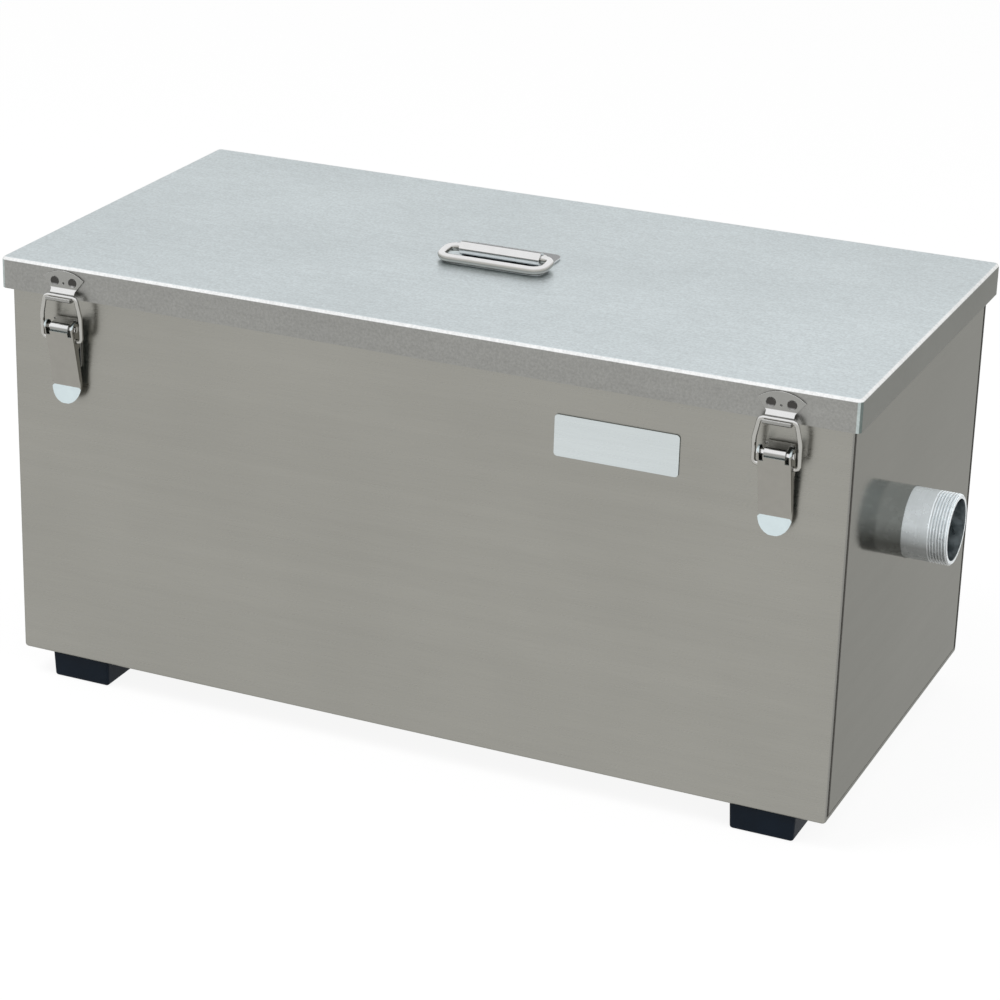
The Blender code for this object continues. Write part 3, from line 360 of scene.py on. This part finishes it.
def painted_light_metal(name, aside, upward, roughness, low, high, kind="Normal"):
    """Polished metal with painted light: each pair for faces that look aside and for faces that look up,
    the two colours standing for how light falls on them.
    """
    material, tree, shader = new_material(name)
    haze = noise(tree, 160.0, detail=4.0)
    part = level_part(tree, low, high, kind)
    # Painted light: the colour follows which way a face looks
    colour = blend(tree, part, aside, upward)
    tree.links.new(shaded(tree, colour, spread(tree, haze, 0.97, 1.02)), shader.inputs["Base Color"])
    tree.links.new(spread(tree, part, *roughness, 0.0, 1.0), shader.inputs["Roughness"])
    shader.inputs["Metallic"].default_value = 1.0
    bump(tree, shader, haze, strength=0.03, distance=0.0001)
    return material


def zinc_coated():
    """Zinc on pipe, a little cloudy, with faint rings; painted light and shade: pale where it looks up,
    duller where it looks down.
    """
    material, tree, shader = new_material("zinc_pipe")
    cloud = noise(tree, 120.0, detail=4.0)
    rings = noise(tree, 900.0, (1.0, 0.05, 0.05), detail=2.0, roughness=0.5)
    shade = times(tree, spread(tree, cloud, 0.95, 1.03), ripple(tree, rings, 0.03))
    # Painted light and shade: pale where the pipe looks up, darker below
    colour = blend(tree, level_part(tree, *ZINC_SHADE_TO_LIT), ZINC_PAINTED_SHADE, ZINC)
    tree.links.new(shaded(tree, colour, shade), shader.inputs["Base Color"])
    tree.links.new(spread(tree, cloud, 0.22, 0.30), shader.inputs["Roughness"])
    shader.inputs["Metallic"].default_value = ZINC_METAL
    bump(tree, shader, cloud, strength=0.03, distance=0.0001)
    return material


def rubber(name, colour, roughness):
    """Moulded rubber with a fine grain."""
    material, tree, shader = new_material(name)
    grain = noise(tree, 1600.0)
    cloud = noise(tree, 60.0, roughness=0.5)
    tree.links.new(shaded(tree, colour, spread(tree, cloud, 0.85, 1.2)), shader.inputs["Base Color"])
    tree.links.new(spread(tree, grain, roughness - 0.08, roughness + 0.08), shader.inputs["Roughness"])
    shader.inputs["Specular IOR Level"].default_value = RUBBER_GLOSS
    bump(tree, shader, grain, strength=0.2, distance=0.0001)
    return material


def round_edges(piece, width):
    rounding = piece.modifiers.new("edge", "BEVEL")
    rounding.width = width
    rounding.segments = 2
    rounding.limit_method = "ANGLE"
    rounding.angle_limit = SHARP_ANGLE
    rounding.harden_normals = True


def even_normals(piece):
    normals = piece.modifiers.new("normals", "WEIGHTED_NORMAL")
    normals.keep_sharp = True


def soften(node, edge):
    """Gives a CAD node rounded edges and smooth bends, with its own mesh as it is."""
    mesh = node.data
    mesh.polygons.foreach_set("use_smooth", [True] * len(mesh.polygons))
    if "custom_normal" in mesh.attributes:
        mesh.attributes.remove(mesh.attributes["custom_normal"])
    weld = node.modifiers.new("weld", "WELD")
    weld.merge_threshold = WELD_REACH
    flat = node.modifiers.new("flat", "DECIMATE")
    flat.decimate_type = "DISSOLVE"
    flat.angle_limit = FLAT_ANGLE
    if edge:
        round_edges(node, edge)
    even_normals(node)


def dress(name, material, edge):
    node = NODES[name]
    node.data.materials.clear()
    node.data.materials.append(material)
    soften(node, edge)


def dress_all(lid, zinc):
    """Every CAD node gets its finish, by the start of its name, and its edge."""
    wall = brushed("steel_wall", STEEL_WALL, STEEL_END_SHADED, "X", 0.30)
    # The end panels' steel, in a darker tone that is painted shade
    end = brushed("steel_end_shaded", STEEL_END_SHADED, STEEL_END_SHADED, "Y", 0.08, contrast=0.04, anisotropy=0.5)
    inside = brushed("steel_inside", STEEL_INSIDE, STEEL_INSIDE, "Z", 0.32, contrast=0.08, anisotropy=0.2)
    # Painted highlight: the lever's tip pale where it looks up
    lever = painted_light_metal("lever_steel", LEVER_STEEL, TIP_HIGHLIGHT, (0.16, 0.45), 0.0, 0.15, "True Normal")
    # Painted highlight: catch and latch base bright chrome where they look up
    catch = painted_light_metal("catch_steel", LID_SKIRT, CHROME, (0.25, 0.12), 0.10, 0.35)
    # Painted shade on the rivets where they look aside or down, painted highlight where they look up
    rivet = painted_light_metal("rivet_steel", RIVET_SHADE, CHROME, (0.25, 0.12), 0.15, 0.45)
    # Painted reflection on the wires where they look aside, painted highlight where they look up
    loop = painted_light_metal("loop_wire", WIRE_PAINTED_REFLECTION, CHROME, (0.12, 0.08), 0.15, 0.6)
    handle = painted_light_metal("handle_chrome", WIRE_PAINTED_REFLECTION, CHROME, (0.07, 0.07), 0.40, 0.70)
    # Painted reflection: the flange greyer where it looks straight up
    flange = painted_light_metal("handle_flange", CHROME, FLANGE_PAINTED_REFLECTION, (0.07, 0.20), 0.96, 0.985)
    latch = polished("latch_chrome", CHROME, 0.10)
    foot = rubber("foot_rubber", FOOT_DARK, 0.55)
    gasket = rubber("gasket_rubber", GASKET_GREY, 0.7)
    finishes = [
        ("tank_wrapper", wall, SHEET_EDGE),
        ("end_panel_", end, SHEET_EDGE),
        ("lid_gasket", gasket, SHEET_EDGE),
        ("lid", lid, SHEET_EDGE),
        ("baffle_", inside, SHEET_EDGE),
        ("guide_", inside, SHEET_EDGE),
        ("basket_rail_", inside, SHEET_EDGE),
        ("strainer_basket", inside, SHEET_EDGE),
        ("basket_handle", latch, 0),
        ("nipple_", zinc, FINE_EDGE),
        ("dip_elbow", zinc, FINE_EDGE),
        ("handle_bail", handle, 0),
        ("handle_plate", flange, FINE_EDGE),
        ("handle_", handle, FINE_EDGE),
        ("foot_", foot, FOOT_EDGE),
        ("latch_bail_", loop, 0),
        ("latch_lever_", lever, FINE_EDGE),
        ("latch_base_", catch, FINE_EDGE),
        ("latch_", latch, FINE_EDGE),
        ("catch_rivet_", rivet, FINE_EDGE),
        ("catch_", catch, FINE_EDGE),
    ]
    for name in NODES:
        start, material, edge = next(row for row in finishes if name.startswith(row[0]))
        dress(name, material, edge)


def new_piece(name, bm, *materials):
    """A new object in the scene, from what was modelled."""
    mesh = bpy.data.meshes.new(name)
    bm.to_mesh(mesh)
    bm.free()
    for material in materials:
        mesh.materials.append(material)
    piece = bpy.data.objects.new(name, mesh)
    bpy.context.scene.collection.objects.link(piece)
    return piece


def block(size):
    """A cuboid around the origin."""
    bm = bmesh.new()
    bmesh.ops.create_cube(bm, size=1.0)
    bmesh.ops.scale(bm, vec=size, verts=bm.verts)
    return bm


def edges_along(bm, axis, length):
    """The edges that reach farther than a length along one axis."""
    return [e for e in bm.edges if abs(e.verts[0].co[axis] - e.verts[1].co[axis]) > length]


def round_off(bm, edges, radius):
    bmesh.ops.bevel(bm, geom=edges, offset=radius, segments=BEND_STEPS, affect="EDGES", profile=0.5)


def badge():
    """The bare plate in the badge's place."""
    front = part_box("tank_wrapper")[0].y
    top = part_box("lid")[1].z
    width = BADGE_HIGH_X - BADGE_LOW_X
    height = BADGE_LOW_DROP - BADGE_TOP_DROP
    bm = block((width, BADGE_THICKNESS, height))
    depth = BADGE_THICKNESS / 2
    round_off(bm, edges_along(bm, 1, depth), BADGE_CORNER)
    pale = brushed("badge_plate", BADGE_PALE, BADGE_PALE, "X", 0.3, anisotropy=0.4)
    plate = new_piece("badge_plate", bm, pale)
    plate.data.shade_smooth()
    round_edges(plate, BADGE_THICKNESS / 3)
    middle_x = (BADGE_LOW_X + BADGE_HIGH_X) / 2
    middle_z = top - (BADGE_LOW_DROP + BADGE_TOP_DROP) / 2
    plate.location = (middle_x, front - CLEARANCE - depth, middle_z)
    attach(plate, "tank")


def thin_piece(name, low, high, material):
    """A thin plain strip between two corners."""
    piece = new_piece(name, block([abs(b - a) for a, b in zip(low, high)]), material)
    piece.location = [(a + b) / 2 for a, b in zip(low, high)]
    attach(piece, "tank")


def corners():
    """Label and signs of X and Y of the four upright corners."""
    for end, sign in (("inlet", -1), ("outlet", 1)):
        for face, side in (("front", -1), ("back", 1)):
            yield "%s_%s" % (face, end), sign, side


def seams():
    """The dark joint at each upright edge of both end faces, partly painted shade where the strip is wider
    than the gap.
    """
    # The dark strip is wider than the gap and stands partly for its shade
    dark = rubber("seam_dark", SEAM_DARK, 0.6)
    low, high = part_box("tank_wrapper")
    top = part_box("lid")[0].z
    for label, sign, side in corners():
        face = high.x + SEAM_THICKNESS
        middle = high.y - SEAM_INSET
        first = (sign * high.x, side * (middle - SEAM_WIDTH / 2), low.z + SEAM_INSET)
        last = (sign * face, side * (middle + SEAM_WIDTH / 2), top - CLEARANCE)
        thin_piece("seam_" + label, first, last, dark)


def rounded_lid(material):
    """The lid with its bends rounded, in place of the one with sharp bends."""
    low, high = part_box("lid")
    size = high - low
    bm = block(size)
    round_off(bm, edges_along(bm, 2, size.z / 2), LID_CORNER_RADIUS)
    rim = size.z / 2 - CLEARANCE
    round_off(bm, [e for e in bm.edges if min(v.co.z for v in e.verts) > rim], LID_BEND_RADIUS)
    bmesh.ops.delete(bm, geom=[f for f in bm.faces if f.normal.z < -0.9], context="FACES_ONLY")
    lid = new_piece("rounded_lid", bm, material)
    lid.data.shade_smooth()
    lid.location = (low + high) / 2
    sheet = lid.modifiers.new("sheet", "SOLIDIFY")
    sheet.thickness = LID_SHEET
    sheet.offset = -1.0
    even_normals(lid)
    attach(lid, "tank")
    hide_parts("lid")


def groove(turns):
    """How deep the thread is cut after a number of turns, from 0 on a crest to 1 at a root."""
    from_root = abs(turns % 1.0 - 0.5)
    return max(0.0, 1.0 - from_root / (0.5 - THREAD_CREST / 2))


def thread_radii(place, sign, limit, rise):
    """Radii around the pipe at one place along its thread, under a limit."""
    radii = []
    for turn in range(ROUND_STEPS):
        cut = groove(place / THREAD_PITCH - sign * turn / ROUND_STEPS)
        radii.append(min(limit, PIPE_RADIUS - THREAD_DEPTH * rise * cut))
    return radii


def outer_rings(reach, sign):
    """Places along the pipe from the wall, each with its radii: a plain stretch, then the thread."""
    start = reach - THREAD_LENGTH
    count = int(THREAD_LENGTH / THREAD_PITCH * PITCH_STEPS)
    step = THREAD_LENGTH / count
    yield -STUB_IN, [PIPE_RADIUS] * ROUND_STEPS
    yield start - step, [PIPE_RADIUS] * ROUND_STEPS
    for index in range(count + 1):
        place = start + index * step
        rise = min(1.0, index * step / (THREAD_RUNOUT * THREAD_PITCH))
        limit = PIPE_RADIUS - max(0.0, MOUTH_CHAMFER - (reach - place))
        yield place, thread_radii(place, sign, limit, rise)


def ring_of(bm, across, radii):
    """Vertices around the X axis."""
    ring = []
    for turn, radius in enumerate(radii):
        angle = 2 * math.pi * turn / len(radii)
        ring.append(bm.verts.new((across, radius * math.cos(angle), radius * math.sin(angle))))
    return ring


def fine_nipple(end, sign, outside, inside):
    """A nipple with a true helical thread, in place of the plain ringed one."""
    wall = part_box("end_panel_" + end)[1 if sign > 0 else 0].x * sign
    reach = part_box("nipple_" + end)[1 if sign > 0 else 0].x * sign - wall
    axis = (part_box("nipple_" + end)[0].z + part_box("nipple_" + end)[1].z) / 2
    bore = [PIPE_RADIUS - PIPE_WALL] * ROUND_STEPS
    bm = bmesh.new()
    rings = [ring_of(bm, sign * place, radii) for place, radii in outer_rings(reach, sign)]
    rings.append(ring_of(bm, sign * reach, bore))
    rings.append(ring_of(bm, sign * -STUB_IN, bore))
    for index, (first, second) in enumerate(zip(rings, rings[1:] + rings[:1])):
        for turn in range(ROUND_STEPS):
            after = (turn + 1) % ROUND_STEPS
            face = bm.faces.new((first[turn], first[after], second[after], second[turn]))
            face.material_index = int(index == len(rings) - 2)
    bmesh.ops.recalc_face_normals(bm, faces=bm.faces)
    pipe = new_piece("fine_nipple_" + end, bm, outside, inside)
    pipe.data.shade_smooth()
    pipe.data.set_sharp_from_angle(angle=SHARP_ANGLE)
    pipe.location = (sign * wall, 0, axis)
    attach(pipe, "tank")
    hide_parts("nipple_" + end)


def nipples(zinc):
    bore = polished("pipe_inside", PIPE_INSIDE, 0.35)
    for end, sign in (("inlet", -1), ("outlet", 1)):
        fine_nipple(end, sign, zinc, bore)


def seen_part(tree):
    """One for rays that show the background: from the camera, in a reflection or through glass."""
    path = add(tree, "ShaderNodeLightPath")
    seen = add(tree, "ShaderNodeMath", operation="MAXIMUM")
    tree.links.new(path.outputs["Is Camera Ray"], seen.inputs[0])
    tree.links.new(path.outputs["Is Glossy Ray"], seen.inputs[1])
    clear = add(tree, "ShaderNodeMath", operation="MAXIMUM")
    tree.links.new(seen.outputs["Value"], clear.inputs[0])
    tree.links.new(path.outputs["Is Transmission Ray"], clear.inputs[1])
    return clear.outputs["Value"]


def greys(stops):
    return [(level, (grey, grey, grey)) for level, grey in stops]


def studio_world():
    """White where it is seen, also in metal; as light, a bright ceiling and back and a darker front."""
    world = bpy.data.worlds.new("studio")
    bpy.context.scene.world = world
    world.use_nodes = True
    tree = world.node_tree
    tree.nodes.clear()
    place = add(tree, "ShaderNodeTexCoord")
    split = add(tree, "ShaderNodeSeparateXYZ")
    tree.links.new(place.outputs["Generated"], split.inputs["Vector"])
    front = ramp_of(tree, split.outputs["Z"], greys(FRONT_LIGHT))
    back = ramp_of(tree, split.outputs["Z"], greys(BACK_LIGHT))
    around = blend(tree, spread(tree, split.outputs["Y"], 0.0, 1.0, *FRONT_TO_BACK), front, back)
    aside = times(tree, split.outputs["X"], split.outputs["X"])
    room = add(tree, "ShaderNodeBackground")
    dimmed = shaded(tree, around, spread(tree, aside, 1.0, SIDE_LIGHT, *SIDE_REACH))
    tree.links.new(dimmed, room.inputs["Color"])
    white = add(tree, "ShaderNodeBackground")
    white.inputs["Color"].default_value = (1, 1, 1, 1)
    mixed = add(tree, "ShaderNodeMixShader")
    tree.links.new(seen_part(tree), mixed.inputs["Fac"])
    tree.links.new(room.outputs["Background"], mixed.inputs[1])
    tree.links.new(white.outputs["Background"], mixed.inputs[2])
    output = add(tree, "ShaderNodeOutputWorld")
    tree.links.new(mixed.outputs["Shader"], output.inputs["Surface"])


def floor():
    """A wide pale floor that keeps the shadow."""
    material, tree, shader = new_material("studio_floor")
    shader.inputs["Base Color"].default_value = (*FLOOR_COLOUR, 1)
    shader.inputs["Roughness"].default_value = 1.0
    shader.inputs["Specular IOR Level"].default_value = 0.0
    share = add(tree, "ShaderNodeMath", operation="MULTIPLY")
    share.inputs[1].default_value = FLOOR_WHITE
    tree.links.new(seen_part(tree), share.inputs[0])
    white = add(tree, "ShaderNodeEmission")
    mixed = add(tree, "ShaderNodeMixShader")
    tree.links.new(share.outputs["Value"], mixed.inputs["Fac"])
    tree.links.new(shader.outputs["BSDF"], mixed.inputs[1])
    tree.links.new(white.outputs["Emission"], mixed.inputs[2])
    tree.links.new(mixed.outputs["Shader"], tree.nodes["Material Output"].inputs["Surface"])
    bm = bmesh.new()
    bmesh.ops.create_grid(bm, x_segments=1, y_segments=1, size=FLOOR_HALF)
    ground = new_piece("studio_floor", bm, material)


def lights():
    """Soft square lamps that metal doesn't mirror."""
    for name, place, size, power in LAMPS:
        lamp = bpy.data.lights.new(name, "AREA")
        lamp.size = size
        lamp.energy = power
        holder = bpy.data.objects.new(name, lamp)
        bpy.context.scene.collection.objects.link(holder)
        holder.location = place
        aim = Vector(LAMP_TARGET) - Vector(place)
        holder.rotation_euler = aim.to_track_quat("-Z", "Y").to_euler()
        holder.visible_glossy = False


def camera():
    """The photograph's view."""
    azimuth = math.radians(CAMERA_AZIMUTH)
    elevation = math.radians(CAMERA_ELEVATION)
    roll = math.radians(CAMERA_ROLL)
    level_x = math.sin(azimuth) * math.cos(elevation)
    level_y = -math.cos(azimuth) * math.cos(elevation)
    back = Vector((level_x, level_y, math.sin(elevation)))
    level = Vector((0, 0, 1)).cross(back).normalized()
    upright = back.cross(level)
    right = level * math.cos(roll) + upright * math.sin(roll)
    up = upright * math.cos(roll) - level * math.sin(roll)
    low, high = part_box("lid")
    length = high.x - low.x
    lid_top = Vector((0, 0, high.z))
    place = right * LID_ACROSS + up * LID_UP - back * LID_DISTANCE
    lens = bpy.data.cameras.new("photo_view")
    lens.sensor_width = SENSOR_WIDTH
    lens.lens = CAMERA_LENS
    lens.shift_x, lens.shift_y = CAMERA_SHIFT
    view = bpy.data.objects.new("photo_view", lens)
    bpy.context.scene.collection.objects.link(view)
    turn = Matrix((right, up, back)).transposed().to_4x4()
    view.matrix_world = Matrix.Translation(lid_top - place * length) @ turn
    bpy.context.scene.camera = view


lid_finish = mottled_lid()
zinc_finish = zinc_coated()
dress_all(lid_finish, zinc_finish)
badge()
seams()
rounded_lid(lid_finish)
nipples(zinc_finish)
studio_world()
floor()
lights()
camera()
bpy.context.scene.view_settings.view_transform = "Standard"
